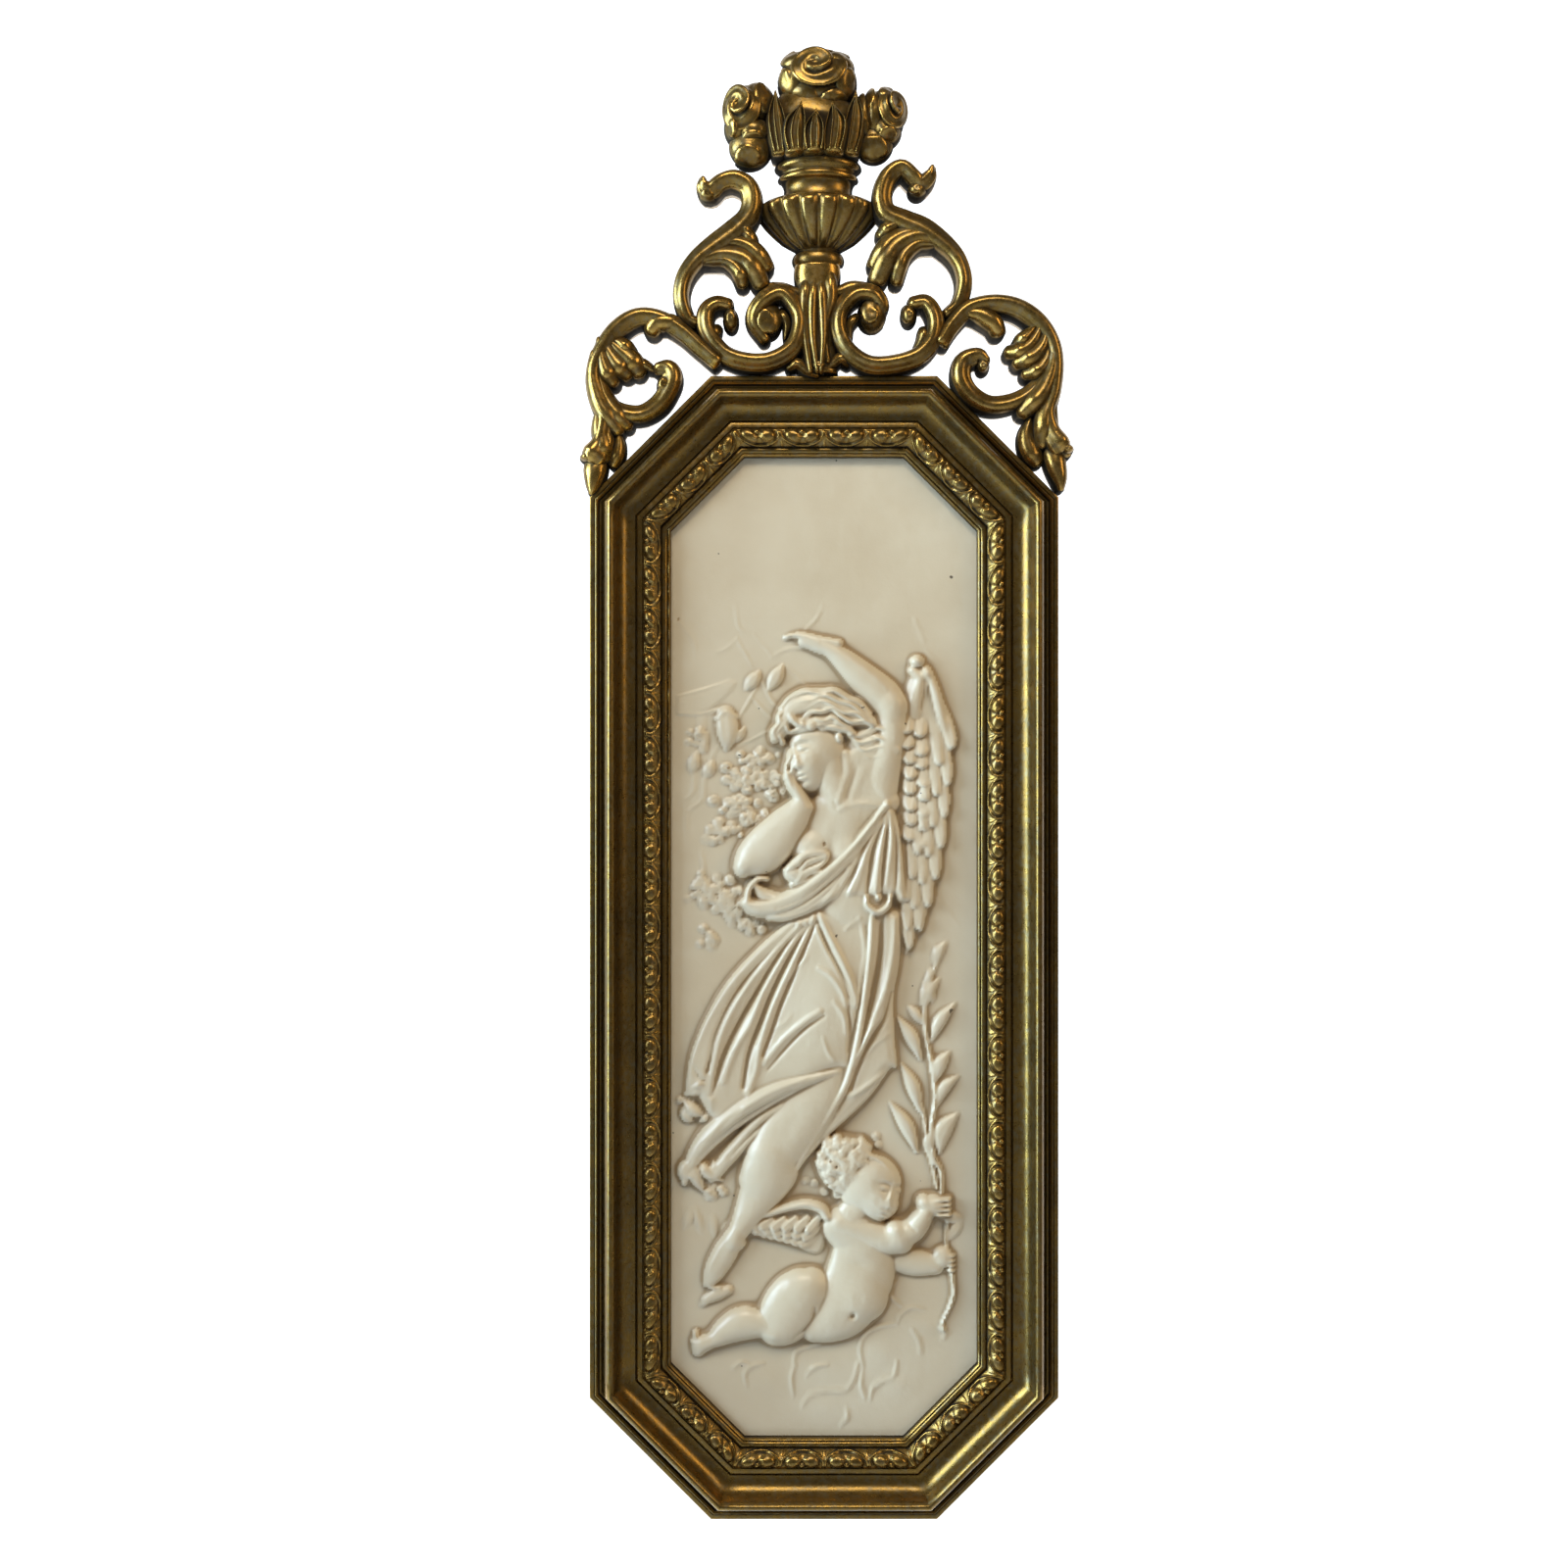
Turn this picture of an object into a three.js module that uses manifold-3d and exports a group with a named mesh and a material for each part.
// A cherub wall plaque: an eight-sided antique-gold frame with an openwork crest, and an ivory relief in it.
// Millimetres. +Z is up, +X is right as seen from the front, and the front faces -Y.
// The flat back lies at Y = 0. The origin is on it, at the middle of the top rail, where the plaque hangs.

import * as THREE from "three";
import { mergeVertices } from "three/addons/utils/BufferGeometryUtils.js";
import Module from "manifold-3d";

const wasm = await Module();
wasm.setup();

// The frame's outline
const frameWidth = 211;
const frameHeight = 514.4;
const cornerCut = 54.6;

// The moulding, from its outer edge inwards: widths, and heights above the back
const wallHeight = 11;
const edgeWidth = 2;
const beadWidth = 2;
const beadHeight = 12.2;
const grooveWidth = 3.2;
const grooveHeight = 10.8;
const ridgeWidth = 5.6;
const ridgeHeight = 24;
const coveWidth = 8.4;
const coveHeight = 13.2;
const listWidth = 3.4;
const listHeight = 14.2;
const ovoloWidth = 7.6;
const ovoloHeight = 16;
const ovoloFoot = 11.6;
const sightWidth = 4.3;
const sightHeight = 11.2;

// The egg and dart course on the ovolo
const eggPitch = 19.5;
const dartWidth = 3.6;
const dartSink = 0.4;
const dartReach = 0.8;

// The panel, which lies in a rebate behind the sight edge
const panelThickness = 5.2;
const panelBack = 1.8;
const rebateWidth = 3;
const panelGap = 0.3;
const reliefHeight = 8;

// The crest over the top rail, and how far its side scrolls reach past the frame
const crestHeight = 146.6;
const crestBack = 1;
const crestDepth = 17;
const urnDepth = 22;
const calyxSwell = 1.3;
const roseDepth = 24;

const railWidth =
  edgeWidth + beadWidth + grooveWidth + ridgeWidth + coveWidth + listWidth + ovoloWidth + sightWidth;
const frameTop = railWidth / 2;
const frameBottom = frameTop - frameHeight;
const middle = (frameTop + frameBottom) / 2;
const panelFace = panelBack + panelThickness;

// One step of the crest's drawing: across, up, down the cut corners, in a bar's thickness and in depth
const crestAcross = frameWidth / 211;
const crestUp = crestHeight / 146.6;
const crestDown = cornerCut / 54.6;
const crestThick = Math.max(crestAcross, crestUp);
const crestDeep = crestDepth / 17;
const urnDeep = urnDepth / 27.2;

// One step of the relief's drawing, in the panel's plane and in height
const reliefStep = Math.min((frameWidth - 2 * railWidth) / 140, (frameHeight - 2 * railWidth) / 443);
const reliefRise = reliefHeight / 8;

const gold = new THREE.MeshStandardMaterial({ color: 0x7a6236, roughness: 0.42, metalness: 0.75 });
const ivory = new THREE.MeshStandardMaterial({ color: 0xd8cdb6, roughness: 0.55, metalness: 0 });

// A closed geometry as a solid that faces outwards
function solidOf(geometry) {
  const bare = geometry.clone();
  bare.deleteAttribute("normal");
  bare.deleteAttribute("uv");
  const merged = mergeVertices(bare, 1e-4);
  const vertProperties = merged.attributes.position.array;
  const triVerts = new Uint32Array(merged.index.array);
  const solid = new wasm.Manifold(new wasm.Mesh({ numProp: 3, vertProperties, triVerts }));
  if (solid.volume() > 0) return solid;
  for (let i = 0; i < triVerts.length; i += 3) {
    [triVerts[i + 1], triVerts[i + 2]] = [triVerts[i + 2], triVerts[i + 1]];
  }
  return new wasm.Manifold(new wasm.Mesh({ numProp: 3, vertProperties, triVerts }));
}

function joined(solids) {
  return solids.reduce((whole, piece) => whole.add(piece));
}

function meshOf(solid, name, material) {
  const made = solid.getMesh();
  const geometry = new THREE.BufferGeometry();
  geometry.setAttribute("position", new THREE.BufferAttribute(new Float32Array(made.vertProperties), 3));
  geometry.setIndex(new THREE.BufferAttribute(new Uint32Array(made.triVerts), 1));
  geometry.computeVertexNormals();
  const mesh = new THREE.Mesh(geometry, material);
  mesh.name = name;
  return mesh;
}

// The outline's eight corners at a distance in from the edge, clockwise from the top rail's left end
function corners(inset) {
  const x = frameWidth / 2 - inset;
  const top = frameTop - inset;
  const bottom = frameBottom + inset;
  const cut = cornerCut - inset * (2 - Math.SQRT2);
  return [
    [cut - x, top],
    [x - cut, top],
    [x, top - cut],
    [x, bottom + cut],
    [x - cut, bottom],
    [cut - x, bottom],
    [-x, bottom + cut],
    [-x, top - cut],
  ];
}

function octagonSlab(inset, from, to) {
  const outline = new THREE.Shape(corners(inset).map(([x, z]) => new THREE.Vector2(x, z)));
  const slab = new THREE.ExtrudeGeometry(outline, { depth: to - from, bevelEnabled: false });
  slab.rotateX(Math.PI / 2);
  slab.translate(0, -from, 0);
  return solidOf(slab);
}

// The moulding's section: distance in from the outer edge, and height above the back
function mouldingSection() {
  const edge = edgeWidth;
  const bead = edge + beadWidth;
  const groove = bead + grooveWidth;
  const ridge = groove + ridgeWidth;
  const cove = ridge + coveWidth;
  const list = cove + listWidth;
  const ovolo = list + ovoloWidth;
  const rebate = panelFace + panelGap;
  const soft = edgeWidth / 2;
  const path = new THREE.Path();
  path.moveTo(0, 0);
  path.lineTo(0, wallHeight);
  path.lineTo(edge, wallHeight);
  path.quadraticCurveTo(edge + beadWidth / 2, 2 * beadHeight - wallHeight, bead, wallHeight);
  path.quadraticCurveTo(bead + grooveWidth / 2, 2 * grooveHeight - wallHeight, groove, wallHeight + soft);
  const ridgeEnd = ridgeHeight - 4 * soft;
  path.bezierCurveTo(groove, ridgeHeight + soft, ridge - soft, ridgeHeight + 3 * soft, ridge, ridgeEnd);
  path.bezierCurveTo(ridge + soft, coveHeight + 2 * soft, ridge + 4 * soft, coveHeight, cove, coveHeight);
  path.quadraticCurveTo(cove + soft / 2, listHeight, cove + soft, listHeight);
  path.lineTo(list, listHeight);
  path.quadraticCurveTo(list + ovoloWidth * 0.6, 2 * ovoloHeight - listHeight - soft, ovolo, ovoloFoot);
  path.quadraticCurveTo(ovolo + sightWidth * 0.6, sightHeight + soft, railWidth, sightHeight - soft);
  path.lineTo(railWidth, rebate);
  path.lineTo(railWidth - rebateWidth, rebate);
  path.lineTo(railWidth - rebateWidth, 0);
  path.lineTo(0, 0);
  return path.getPoints(3);
}

// The moulding is a lathe with eight stops, whose stops are then set on the outline's mitres
function mouldingRing() {
  const section = mouldingSection();
  const ring = new THREE.LatheGeometry(section.map((p) => new THREE.Vector2(frameWidth - p.x, p.y)), 8);
  const place = ring.attributes.position;
  section.forEach((point, row) => {
    const mitres = corners(point.x);
    for (let stop = 0; stop <= 8; stop += 1) {
      const [x, z] = mitres[stop % 8];
      place.setXYZ(stop * section.length + row, x, -point.y, z);
    }
  });
  return solidOf(ring);
}

// A rounded bump: half sizes along X, Y and Z, turned by a lean in the picture plane
function ball([x, z], depth, [rx, ry, rz], lean = 0, smooth = true) {
  const lump = smooth ? new THREE.SphereGeometry(1, 7, 5) : new THREE.IcosahedronGeometry(1, 0);
  lump.scale(rx, ry, rz);
  lump.rotateY(lean);
  lump.translate(x, -depth, z);
  return solidOf(lump);
}

// A bar that follows a route. A stop holds x, z, half the bar's width, and optionally its rise and its level.
// A pleat under 1 sinks every other edge, as folds of cloth do.
function limb(stops, { rise, level, sides = 6, pleat = 1 }) {
  const route = new THREE.CatmullRomCurve3(stops.map((s) => new THREE.Vector3(s[0], -(s[4] ?? level), s[1])));
  const sizes = new THREE.CatmullRomCurve3(stops.map((s) => new THREE.Vector3(s[2], s[3] ?? rise, 0)));
  const bar = new THREE.CylinderGeometry(1, 1, 1, sides, stops.length - 1);
  const place = bar.attributes.position;
  const widest = Math.sin((2 * Math.PI * Math.round(sides / 4)) / sides);
  for (let i = 0; i < place.count; i += 1) {
    const t = 0.5 - place.getY(i);
    const centre = route.getPoint(t);
    const size = sizes.getPoint(t);
    const along = route.getTangent(t);
    const length = Math.hypot(along.x, along.z) || 1;
    const turn = Math.round((Math.atan2(place.getX(i), place.getZ(i)) / (2 * Math.PI)) * sides);
    const fold = turn % 2 === 0 ? 1 : pleat;
    const across = (place.getX(i) / widest) * Math.max(size.x, 0.25);
    place.setXYZ(
      i,
      centre.x + (across * along.z) / length,
      centre.y + place.getZ(i) * fold * Math.max(size.y, 0.25),
      centre.z - (across * along.x) / length,
    );
  }
  return solidOf(bar);
}

// The notches that part the ovolo into eggs, along all eight sides
function darts() {
  const notches = [];
  const line = corners(railWidth - sightWidth - ovoloWidth / 2);
  line.forEach(([x0, z0], side) => {
    const [x1, z1] = line[(side + 1) % 8];
    const count = Math.round(Math.hypot(x1 - x0, z1 - z0) / eggPitch);
    const lean = Math.atan2(z0 - z1, x1 - x0);
    for (let i = 0; i < count; i += 1) {
      const share = i / count;
      const notch = new THREE.CylinderGeometry(dartWidth * 0.3, dartWidth, ovoloWidth * dartReach, 3);
      notch.rotateX(-Math.PI / 2);
      notch.rotateY(lean);
      notch.translate(x0 + (x1 - x0) * share, -ovoloHeight + dartSink, z0 + (z1 - z0) * share);
      notches.push(solidOf(notch));
    }
  });
  return joined(notches);
}

// A point of the crest, drawn right of the centre and above the top rail's edge
function crestPoint([x, z]) {
  return [x * crestAcross, frameTop + z * (z >= 0 ? crestUp : crestDown)];
}

// The half depth of a scroll, and how far its middle stands in front of the back
const scrollRise = 10.2;
const scrollLevel = 7.65;

function crestLimb(stops, { rise = scrollRise, level = scrollLevel, ...shape } = {}) {
  const placed = stops.map(([x, z, half, ownRise = rise]) => [
    ...crestPoint([x, z]),
    half * crestThick,
    ownRise * crestDeep,
  ]);
  return limb(placed, { level: level * crestDeep, ...shape });
}

function crestBall(spot, level, [rx, ry, rz]) {
  return ball(crestPoint(spot), level * crestDeep, [rx * crestThick, ry * crestDeep, rz * crestThick]);
}

const leafy = { level: 8.6, sides: 5 };

// The pair of U scrolls that stand on the top rail beside the stem
function innerScrolls() {
  return [
    crestLimb([
      [-28.5, 19.5, 3.4], [-26, 28, 4.4], [-19.5, 33.5, 4.4], [-11.5, 26.5, 4.2], [-9.5, 18.5, 4.4],
      [-13.5, 9.5, 4.6], [-21, 4, 4.6], [-32, 3, 4.8], [-42, 6, 4.6], [-50, 13, 4.4], [-53, 21, 4.2],
      [-49.5, 29, 3.8], [-43.5, 29, 3.2],
    ]),
    crestBall([-25.5, 22], 10, [6.8, 9.5, 7.2]),
    crestBall([-41.5, 26], 9, [3.9, 8.5, 4.2]),
    crestLimb([
      [26, 19.5, 3.2], [24, 31, 4.2], [16, 35.5, 4.4], [8, 28, 4.2], [7, 18.5, 4.4], [12, 9, 4.6],
      [20.5, 4, 4.6], [31, 3, 4.8], [41, 7, 4.6], [48, 15, 4.4], [50, 23, 4.2], [46, 31, 3.8],
      [40, 32, 3.4],
    ]),
    crestBall([23, 25], 10, [6.2, 9.5, 7.6]),
    crestBall([38, 27.5], 9, [4.2, 8.5, 4.6]),
  ];
}

// The S scrolls that climb from the U scrolls to the urn's shoulders and end in hooked buds
function upperScrolls() {
  return [
    crestLimb([
      [-52.5, 22, 3.6], [-59.5, 28, 4.2], [-62, 38, 4.4], [-60, 48, 4.8], [-53.5, 57, 5.4], [-45, 64, 6],
      [-37, 68.5, 5.6], [-32.5, 76.5, 5], [-34, 84.5, 4.8], [-39.5, 89, 4.4], [-46, 86, 4.8],
      [-52.5, 83.5, 4.2], [-54.5, 88, 1.4],
    ]),
    crestLimb([
      [53, 21, 3.6], [60, 29, 4.2], [61, 38.5, 4.4], [58.5, 48.5, 4.8], [52.5, 57, 5.4], [43, 63.5, 6],
      [32.5, 68.5, 5.4], [27, 76, 5], [27.5, 85, 4.8], [33.5, 91.5, 4.2], [41, 89, 4.6],
      [45.5, 85.5, 4.4], [48.5, 92.5, 1.4],
    ]),
    crestLimb([[-43.5, 63.5, 4], [-37, 57, 8], [-32, 48.5, 6.6], [-27.5, 39.5, 2]], leafy),
    crestLimb([[-46, 60, 3], [-42, 53, 5], [-40, 42, 1.4]], leafy),
    crestLimb([[37.5, 64, 4], [29.5, 58, 8], [25, 49.5, 6.6], [24, 40, 2]], leafy),
    crestLimb([[41, 60.5, 3], [35.5, 54.5, 5], [32, 45, 1.6]], leafy),
  ];
}

// The big scrolls over the cut corners, with their leaves and the straps that end at the frame's shoulders
function lowerScrolls() {
  return [
    crestLimb([
      [-50, 4.5, 3.4], [-57, 14, 4], [-64, 21.5, 4.4], [-74.5, 25.5, 4.8], [-85, 24, 4.6],
      [-94, 17, 4.8], [-99.5, 7, 4.6], [-101, -3.5, 4.4], [-98.5, -14.5, 4.4], [-97, -25.5, 4.2],
      [-101.5, -36, 5.4], [-103, -46.5, 4.6], [-103, -57, 2.8],
    ]),
    crestLimb([[-67.5, 23, 3], [-73.5, 21, 4.6], [-79, 20, 2.6]]),
    crestLimb([
      [-99, -2, 3], [-95, -9.5, 4.4], [-86, -16, 4.6], [-75, -16.5, 4.6], [-66.5, -10.5, 4.8],
      [-65.5, -2.5, 4.8], [-70.5, 1.5, 5], [-76.5, 2, 1.6],
    ]),
    crestLimb([[-96.5, 20, 4], [-93, 12.5, 7], [-88, 6, 6], [-84, 0, 2.4]], leafy),
    crestLimb([[-100, -7, 3], [-94.5, -16.5, 4.6], [-88.5, -24, 2.4]], leafy),
    crestLimb([[-93.5, -20, 3], [-92, -31, 3.8], [-96, -42, 2.2]], { level: 6.4 }),
    crestLimb([
      [47, 3.5, 3.4], [53, 14, 4], [60.5, 23, 4.4], [71.5, 28, 4.8], [83, 28, 4.6], [93, 21.5, 4.8],
      [99, 12, 4.6], [100.5, 1, 4.4], [99, -10, 4.4], [99, -22, 4.2], [104.5, -33, 5.4],
      [104.5, -43, 4.6], [104.5, -55.5, 2.8],
    ]),
    crestLimb([[65.5, 27.5, 3], [72.5, 24.5, 4.8], [77, 21.5, 2.8]]),
    crestLimb([
      [98, 2, 3], [93, -6, 4.4], [84, -12, 4.6], [74, -13, 4.6], [66.5, -8.5, 4.8], [62.5, -1, 4.4],
      [65, 6, 4.2], [70.5, 6, 3.4],
    ]),
    crestBall([71.5, 4.5], 9, [3.8, 8.4, 4]),
    crestLimb([[95.5, 20, 4], [92.5, 13, 7], [89, 7, 6], [84.5, 0, 2.4]], leafy),
    crestLimb([[100, -5.5, 3], [93.5, -12.5, 4.4], [88, -16.5, 2.2]], leafy),
    crestLimb([[94.5, -16.5, 3], [92.5, -28, 3.8], [96.5, -40.5, 2.4]], { level: 6.4 }),
  ];
}

// The fluted urn on its stem. Its section is drawn as half widths up from the stem's top.
function urn() {
  const [centre, foot] = crestPoint([-3, 50]);
  const section = [
    [0, 0], [11.4, 0.8], [11.4, 5.6], [10.2, 6.8], [18, 14], [27.2, 25.6], [25.6, 29], [16.4, 31.4],
    [14.8, 37], [17.8, 42], [19.8, 45.4], [18, 49], [0, 49],
  ];
  const flutes = 10;
  const fluted = { from: 8, to: 29, depth: 0.08 };
  const turned = new THREE.LatheGeometry(section.map(([r, z]) => new THREE.Vector2(r, z)), 2 * flutes);
  const place = turned.attributes.position;
  for (let i = 0; i < place.count; i += 1) {
    const stop = Math.floor(i / section.length) % (2 * flutes);
    const z = place.getY(i);
    const hollow = stop % 2 === 1 && z > fluted.from && z < fluted.to ? 1 - fluted.depth : 1;
    place.setX(i, place.getX(i) * hollow);
    place.setZ(i, place.getZ(i) * hollow);
  }
  turned.rotateX(Math.PI / 2);
  turned.scale(crestAcross, urnDeep, crestUp);
  turned.translate(centre, 0, foot);
  return solidOf(turned);
}

// The leafy stem from the top rail to the urn, with arms to the scrolls
function stem() {
  return [
    crestLimb([
      [-1.5, -2, 8, 7], [-1.5, 9, 8.4, 7], [-1.5, 23, 9, 6.6], [-2, 35, 11.4, 6.4], [-2, 46.5, 10.8, 4],
      [-2.5, 53, 9, 2],
    ], { level: 6 }),
    crestLimb([[-2, 38, 3], [-10, 40, 3.4], [-18, 39.5, 4], [-23.5, 35, 3.4]]),
    crestLimb([[-1.5, 38, 3], [6.5, 40.5, 3.4], [13.5, 39.5, 4], [18, 35, 3.4]]),
    crestLimb([[-4, 3.5, 2], [-7, 23, 2.8], [-10, 43, 1.4]], { level: 10, rise: 4, sides: 4 }),
    crestLimb([[-0.5, 3.5, 2], [4.5, 23, 2.8], [6.5, 43, 1.4]], { level: 10, rise: 4, sides: 4 }),
    crestLimb([[-2, 5.5, 3], [-10, 2.5, 3.4], [-18, -1, 1.6]], { rise: 7, level: 6 }),
    crestLimb([[0.5, 5.5, 3], [8.5, 2.5, 3.4], [15.5, -1, 1.6]], { rise: 7, level: 6 }),
  ];
}

// One rose, facing the front: a round lump whose rings are folded into petals about a sunken heart
function rose(spot, level, radius, petals, lean) {
  const columns = 2 * petals;
  const flower = new THREE.SphereGeometry(1, columns, 6);
  const place = flower.attributes.position;
  const swell = [1, 1, 1, [1.06, 0.94], [0.9, 1.1], [1.2, 0.75], 1];
  for (let i = 0; i < place.count; i += 1) {
    const row = Math.floor(i / (columns + 1));
    const fold = Array.isArray(swell[row]) ? swell[row][(i % (columns + 1)) % 2] : swell[row];
    const front = row === 6 ? 0.6 : fold;
    place.setXYZ(i, place.getX(i) * fold, place.getY(i) * front, place.getZ(i) * fold);
  }
  flower.scale(radius * crestThick, roseDepth / 2, radius * crestThick);
  flower.rotateY(lean);
  const [x, z] = crestPoint(spot);
  flower.translate(x, -level * crestDeep, z);
  return solidOf(flower);
}

// The pleated leaves that flare from the urn's mouth and hold the roses
function calyx() {
  const leaves = 9;
  const section = [[0, 0], [13, 0], [15.6, 11], [18.8, 22], [0, 19]];
  const cup = new THREE.LatheGeometry(section.map(([r, z]) => new THREE.Vector2(r, z)), 2 * leaves);
  const place = cup.attributes.position;
  for (let i = 0; i < place.count; i += 1) {
    const isValley = Math.floor(i / section.length) % 2 === 1;
    const row = i % section.length;
    if (!isValley || row === 0 || row === 4) continue;
    place.setXYZ(i, place.getX(i) * 0.88, place.getY(i) - (row === 3 ? 6 : 0), place.getZ(i) * 0.88);
  }
  const [x, z] = crestPoint([-3.5, 95.5]);
  cup.rotateX(Math.PI / 2);
  cup.scale(crestAcross, urnDeep * calyxSwell, crestUp);
  cup.translate(x, 0, z);
  return solidOf(cup);
}

function bouquet() {
  return [
    calyx(),
    rose([-2, 130], 11, 16.6, 6, 0.3),
    rose([-32, 114], 9, 13.8, 5, 0),
    rose([23, 113.5], 9, 13, 5, 0.5),
  ];
}

function crest() {
  const all = joined([
    ...innerScrolls(),
    ...upperScrolls(),
    ...lowerScrolls(),
    ...stem(),
    ...bouquet(),
    urn(),
  ]);
  const behind = new THREE.BoxGeometry(3 * frameWidth, 6 * crestDepth, 3 * frameHeight);
  behind.translate(0, 3 * crestDepth - crestBack, 0);
  return all.subtract(solidOf(behind));
}

function frame() {
  const opening = octagonSlab(railWidth - rebateWidth, -crestBack, 2 * ridgeHeight);
  return mouldingRing().subtract(darts()).add(crest().subtract(opening));
}

// A modelled part on the panel's face. Its stops hold x and z from the panel's middle, half width and rise.
function form(stops, options = {}) {
  const placed = stops.map(([x, z, half, rise]) => [
    x * reliefStep,
    middle + z * reliefStep,
    half * reliefStep,
    rise * reliefRise,
  ]);
  return limb(placed, { level: panelFace, rise: 1, ...options });
}

function mound([x, z], [rx, rise, rz], lean = 0, smooth = false) {
  const spot = [x * reliefStep, middle + z * reliefStep];
  const size = [rx * reliefStep, rise * reliefRise, rz * reliefStep];
  return ball(spot, panelFace, size, lean, smooth);
}

const low = { sides: 4 };
const pleated = { sides: 12, pleat: 0.7 };

// The winged woman: head, arms and the part of the body above the girdle
function woman() {
  return [
    mound([-3.5, 88.5], [9.6, 7, 12.6], 0.35, true),
    mound([-1, 101.5], [17, 6.4, 9.4], -0.15, true),
    mound([-15, 100], [6.4, 6.6, 5.4], 0.5),
    mound([12.5, 95.5], [11, 6, 7.6], 0.4),
    mound([23, 91], [6, 4.6, 6.4]),
    form([[-7, 93.5, 1.6, 7.2], [-8.5, 88.5, 1.4, 8.2], [-7, 86, 1.2, 7.2]], low),
    form([[1, 79, 7, 5], [4.5, 69, 7.4, 5.4], [9.5, 60.5, 11, 5.6]]),
    form([
      [-17.5, 140.5, 1.6, 2.6], [-9.5, 139.5, 3.6, 3.4], [-2, 137, 4, 4], [9.5, 130, 5.4, 5],
      [23, 122, 7.6, 5.6], [31, 113, 8.6, 6], [32.5, 100, 8.2, 6], [31, 85, 8.6, 6], [26.5, 69, 10, 6],
    ]),
    form([
      [-15, 83, 2, 6.4], [-12.5, 76, 4.2, 6.8], [-11.5, 66.5, 4.4, 6.6], [-17.5, 56, 6.2, 7],
      [-28, 44.5, 8, 7.2], [-35, 37.5, 7.6, 7],
    ]),
    form([[-35, 36.5, 7, 7], [-24, 35.5, 8, 6.4], [-9.5, 42.5, 9.4, 6]]),
    form([
      [16.5, 71.5, 9, 5], [15, 63, 17, 6], [12.5, 49.5, 19.6, 6.6], [11.5, 35, 18, 6.8],
      [11.5, 21.5, 15, 6],
    ], { sides: 8 }),
    mound([-1, 47], [10, 8.2, 9.6], 0.2),
    form([
      [28.5, 63, 3, 6.4], [17.5, 49, 4, 7.4], [2.5, 35, 4.4, 8], [-15, 24, 4.6, 7.4],
      [-33.5, 22.5, 2.4, 5],
    ]),
    form([[28, 61, 2.6, 5.8], [19.5, 42, 3, 7.2], [4.5, 27.5, 3.4, 7.6], [-22, 18, 3, 6.2]]),
    form([[34.5, 57.5, 3, 4.4], [35.5, 39, 3.6, 5], [34.5, 22.5, 3.2, 5.2]]),
    mound([24.5, 20], [5, 7.2, 4.4]),
  ];
}

// The blown skirt: pleated lengths of cloth that fan out from the girdle, with the long folds over them
function skirt() {
  const folds = [
    [[-15, 13.5, 2, 6.4], [-33.5, -13.5, 3, 5.8], [-49.5, -41, 2.8, 5], [-59, -71, 2.2, 3.8]],
    [
      [22, 16.5, 2.6, 7], [19.5, -13.5, 3.4, 7.8], [13, -42.5, 3.4, 7.6], [4.5, -70, 3, 6.8],
      [-17.5, -108, 2, 5],
    ],
    [
      [7.5, -54, 2, 7], [-14, -60.5, 3, 7.2], [-35, -73.5, 3, 6.6], [-51, -91, 3.4, 5.8],
      [-61.5, -103.5, 2.4, 4.6],
    ],
  ];
  return [
    form([
      [11.5, 25, 17, 7.2], [9.5, 14.5, 19, 7], [1, -9, 27, 7], [-7, -33, 33, 6.8], [-14, -57.5, 35, 6],
    ], pleated),
    form([
      [-17.5, 4, 9, 5.4], [-38.5, -35.5, 18, 4.8], [-53, -66.5, 13, 3.6], [-60.5, -79.5, 6, 2.2],
    ], pleated),
    form([[24, 13, 8, 5.6], [24, -22.5, 10, 5.8], [17.5, -62, 14, 4.8], [-2, -91, 11, 4]], pleated),
    form([[-22, -70, 10, 5.4], [-38.5, -82.5, 8, 5.2], [-53.5, -100, 6, 4.4], [-49.5, -108.5, 4, 3.6]]),
    ...folds.map((stops) => form(stops, low)),
  ];
}

function legs() {
  return [
    form([
      [-1, -56, 15, 6.8], [-9.5, -78, 13, 7.2], [-20, -96.5, 9, 7.4], [-30, -111.5, 8.4, 7],
      [-37, -126.5, 5, 6.4], [-42, -136, 4.6, 6], [-49.5, -145, 5, 5], [-54.5, -152, 2.4, 3.4],
    ]),
    form([[-31, -129, 4, 3], [-42, -145.5, 3.8, 3], [-53.5, -158, 2.4, 2.6]]),
  ];
}

// The wing: a strong leading edge, rows of short feathers that notch its outline, and long quills below
function wing() {
  const rows = 13;
  const vane = [];
  for (let row = 0; row < rows; row += 1) {
    const share = row / (rows - 1);
    const swell = row % 2 === 1 ? 1 : 0.8;
    const x = 40.5 + Math.sin(share * Math.PI) * 3.4;
    vane.push([x, 122 - share * 104, (6.4 + Math.sin(share * Math.PI) * 2) * swell, 3.6 * swell]);
  }
  const pieces = [
    form([
      [42, 130.5, 3.2, 4.6], [44, 118.5, 4, 5.4], [49.5, 101, 4, 5], [53.5, 74.5, 3.4, 4.4],
      [51, 39, 2.4, 3.4],
    ]),
    mound([42, 127], [4, 5.4, 3.8]),
    form(vane, { sides: 8 }),
  ];
  const quills = 4;
  for (let quill = 0; quill < quills; quill += 1) {
    const x = 37 + quill * 4;
    const tip = -2 + quill * 5;
    pieces.push(form([[x + 3, 40, 1.8, 3.4], [x + 1.6, 22, 2.4, 3.4], [x, tip, 1, 2]], low));
  }
  return pieces;
}

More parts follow.
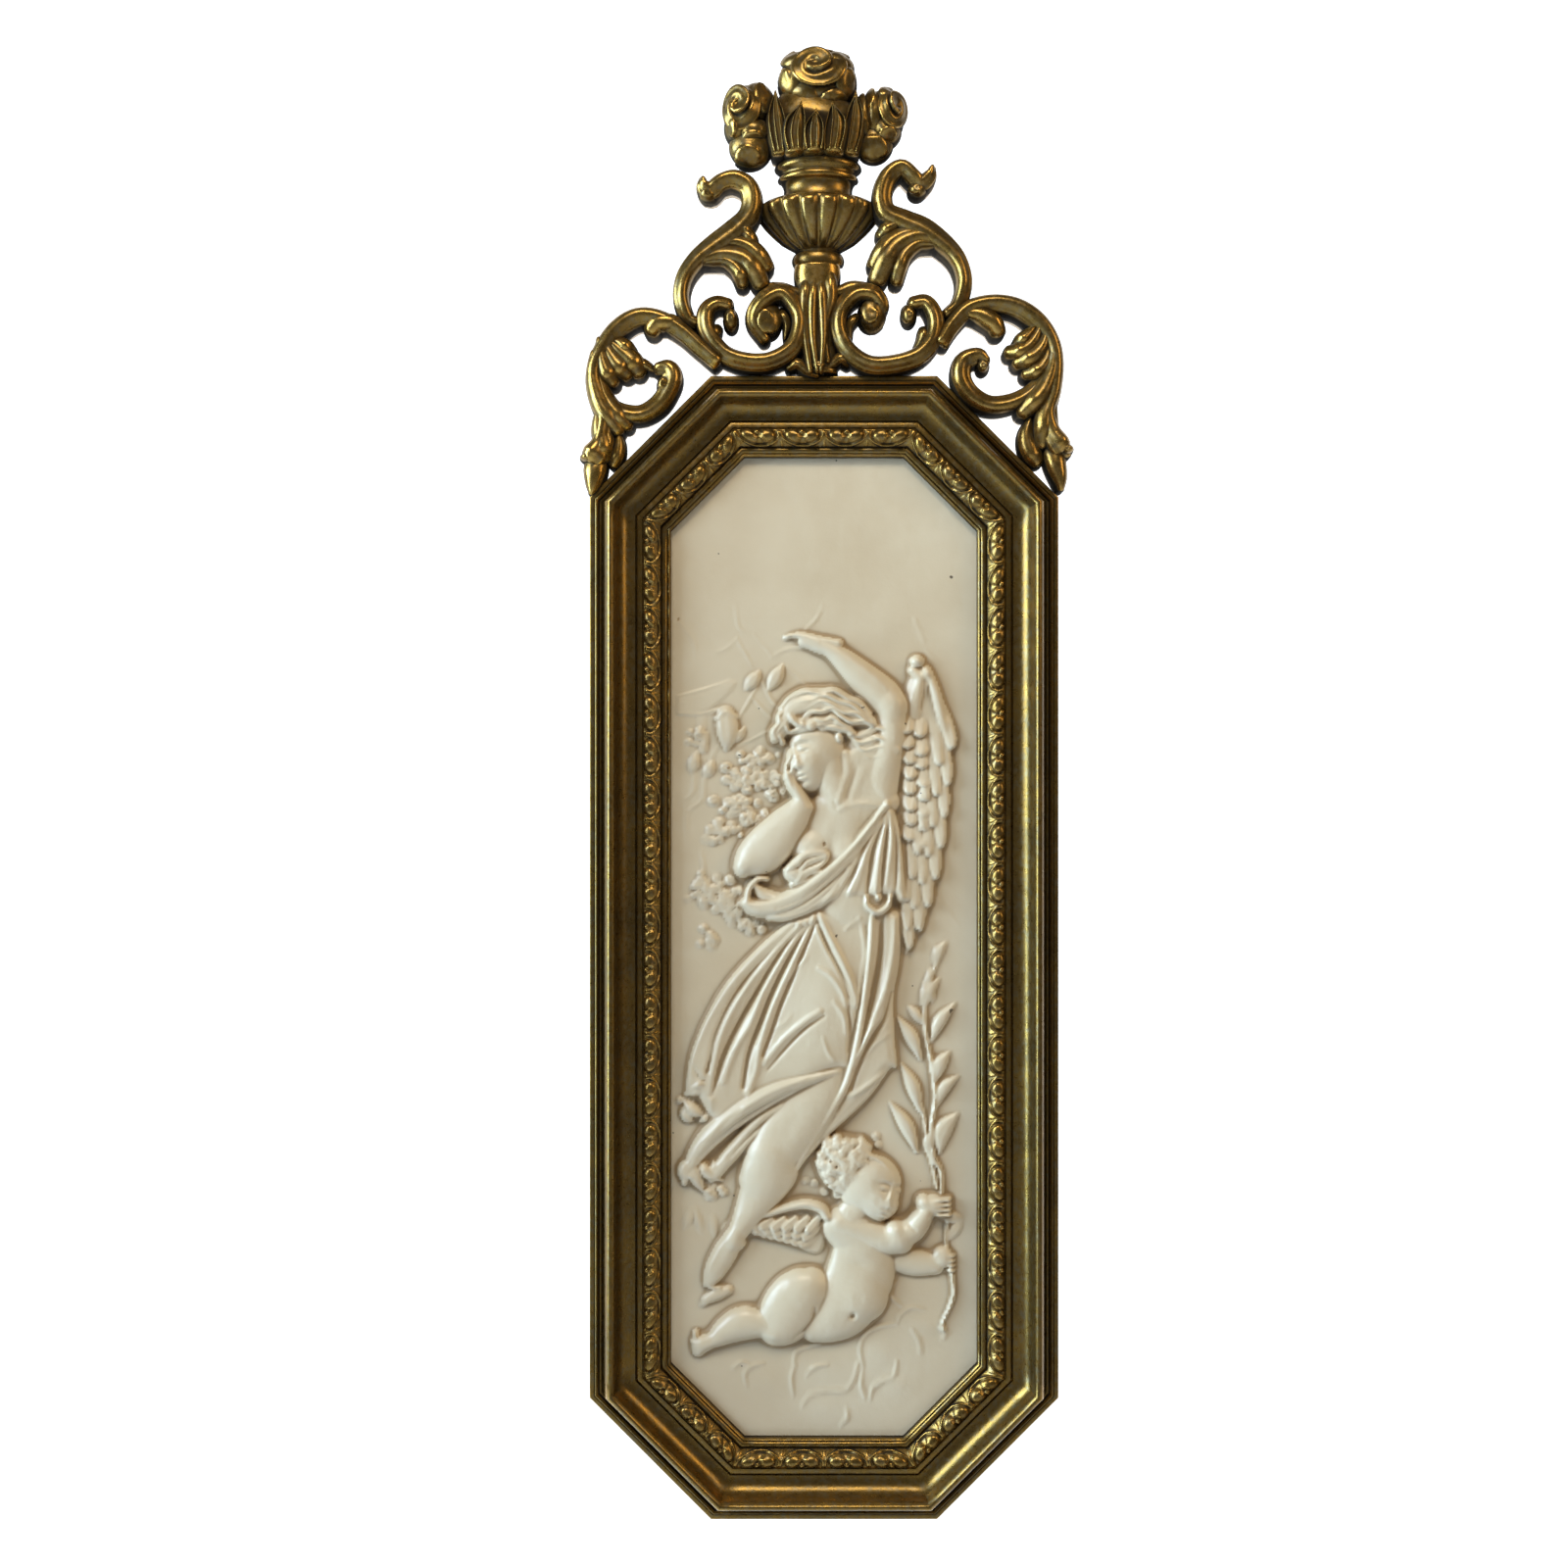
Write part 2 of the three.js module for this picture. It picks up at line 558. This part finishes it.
function cherub() {
  const curls = [[2.5, -92], [12.5, -86], [24, -86.5], [-2, -102.5], [5.5, -109.5]];
  const feathers = 3;
  const pieces = [
    mound([11.5, -100], [13.6, 6.6, 13], 0, true),
    mound([24, -108], [10.4, 6.8, 11.4], 0.1, true),
    ...curls.map((spot) => mound(spot, [5.8, 7.6, 5.4])),
    mound([25, -108.5], [1.8, 7.8, 2]),
    form([
      [19.5, -119, 7, 5], [15, -129, 12, 6.4], [17.5, -145.5, 13.4, 7], [16, -160.5, 13.6, 7.4],
      [9.5, -169.5, 10, 6], [4.5, -173, 4, 4],
    ]),
    form([
      [9.5, -127, 6.4, 6.6], [19.5, -132.5, 6.4, 7.4], [33.5, -133.5, 6, 7.2], [43, -126.5, 4.6, 6.6],
      [52, -118.5, 4, 6],
    ]),
    mound([53, -115.5], [5, 5.6, 4.4]),
    form([[26.5, -142, 4.6, 4], [39.5, -145, 4.6, 4], [52, -142, 4.2, 4], [59, -142, 2.4, 3.4]]),
    mound([-8, -159], [16, 7.6, 13], -0.1, true),
    form([
      [-1, -163, 10, 7], [-17.5, -168.5, 9, 6.6], [-34.5, -173, 6.6, 5.4], [-47.5, -174.5, 4.6, 4.4],
      [-55.5, -178, 4.4, 3.6],
    ]),
    form([[-59, -174, 2.6, 3.4], [-58, -181.5, 2.4, 3]], low),
    form([[2.5, -122, 3, 5], [-12.5, -118.5, 4.6, 4.4], [-29, -120, 3, 3.4], [-40.5, -122, 1.4, 2.6]]),
  ];
  for (let feather = 0; feather < feathers; feather += 1) {
    const reach = 1 - feather * 0.2;
    const drop = feather * 5;
    const root = [2, -122, 2, 4.4];
    const bend = [-8 * reach, -124 - drop, 2, 4];
    const tip = [4 - 38 * reach, -123 - drop, 1.2, 3];
    pieces.push(form([root, bend, tip], low));
  }
  return pieces;
}

// The tall leafy branch that the cherub holds, and the bow in the other hand
function branchAndBow() {
  const pieces = [
    form([
      [51.5, -112, 1.3, 3], [48.5, -89.5, 1.3, 2.6], [49.5, -72.5, 1.2, 2.4], [46.5, -53, 1.2, 2.4],
      [45.5, -35, 1.1, 2.2], [47, -18, 1, 2], [53, 0.5, 0.8, 1.6],
    ], low),
    form([[59, -148.5, 1.1, 2.4], [58, -160.5, 1.1, 2.4], [52, -172, 0.9, 2]], low),
  ];
  const leaves = [
    [[49.5, -87.5], [39.5, -79.5], [31, -67.5]],
    [[50, -75], [56.5, -68], [60.5, -57.5]],
    [[47.5, -62], [40.5, -59.5], [34.5, -52.5]],
    [[47.5, -54], [53.5, -51.5], [57.5, -45.5]],
    [[46, -42.5], [39.5, -40], [33.5, -31]],
    [[46, -34], [53, -31], [59, -25]],
    [[51, -94.5], [56.5, -88.5], [60.5, -79]],
    [[46.5, -22.5], [42, -15.5], [40.5, -6.5]],
    [[49.5, -10], [54.5, -6.5], [56.5, 1.5]],
  ];
  leaves.forEach(([base, mid, tip]) => {
    pieces.push(form([[...base, 0.8, 2.2], [...mid, 2.8, 2.8], [...tip, 0.6, 1.6]], low));
  });
  return pieces;
}

// The tree at the left: a bough, hanging leaves and a mass of foliage, with low clouds at the foot
function surroundings() {
  const pieces = [
    form([
      [-66, 108.5, 2.4, 1.6], [-53, 108.5, 2.2, 1.8], [-38.5, 115.5, 1.2, 1.6], [-27.5, 120, 0.8, 1.4],
    ], low),
    form([[-43, 105, 2, 3], [-43, 97, 4, 4], [-42, 88.5, 0.8, 2]], low),
    form([[-32.5, 116.5, 0.8, 2], [-32.5, 122, 3, 2.8], [-34.5, 127, 0.8, 1.6]], low),
    form([[-26.5, 117.5, 0.8, 2], [-23, 123, 3, 2.8], [-19.5, 127, 0.8, 1.6]], low),
  ];
  const tufts = 11;
  for (let tuft = 0; tuft < tufts; tuft += 1) {
    const share = tuft / (tufts - 1);
    const sway = Math.sin(tuft * 2.4);
    const x = -42 - 16 * share + sway * 9 + (share < 0.5 ? 8 : 4);
    const z = 82 - 82 * share;
    pieces.push(mound([x, z], [4.6 + (tuft % 3), 1.9, 3.4], sway));
  }
  const clouds = 5;
  for (let cloud = 0; cloud < clouds; cloud += 1) {
    const share = cloud / (clouds - 1);
    const x = -28 + 74 * share;
    const z = -190 - 12 * Math.sin(cloud * 2.1);
    pieces.push(mound([x, z], [12, 1.1, 7], 0.3 * Math.sin(cloud)));
  }
  return pieces;
}

function reliefPanel() {
  const slab = octagonSlab(railWidth - rebateWidth + panelGap, panelBack, panelFace);
  const carved = joined([
    ...surroundings(),
    ...wing(),
    ...branchAndBow(),
    ...skirt(),
    ...legs(),
    ...woman(),
    ...cherub(),
  ]);
  const inSight = octagonSlab(railWidth + panelGap, panelBack + panelThickness / 2, ridgeHeight);
  return slab.add(carved.intersect(inSight));
}

const plaque = new THREE.Group();
plaque.add(meshOf(frame(), "frame", gold));
plaque.add(meshOf(reliefPanel(), "relief_panel", ivory));

export default plaque;
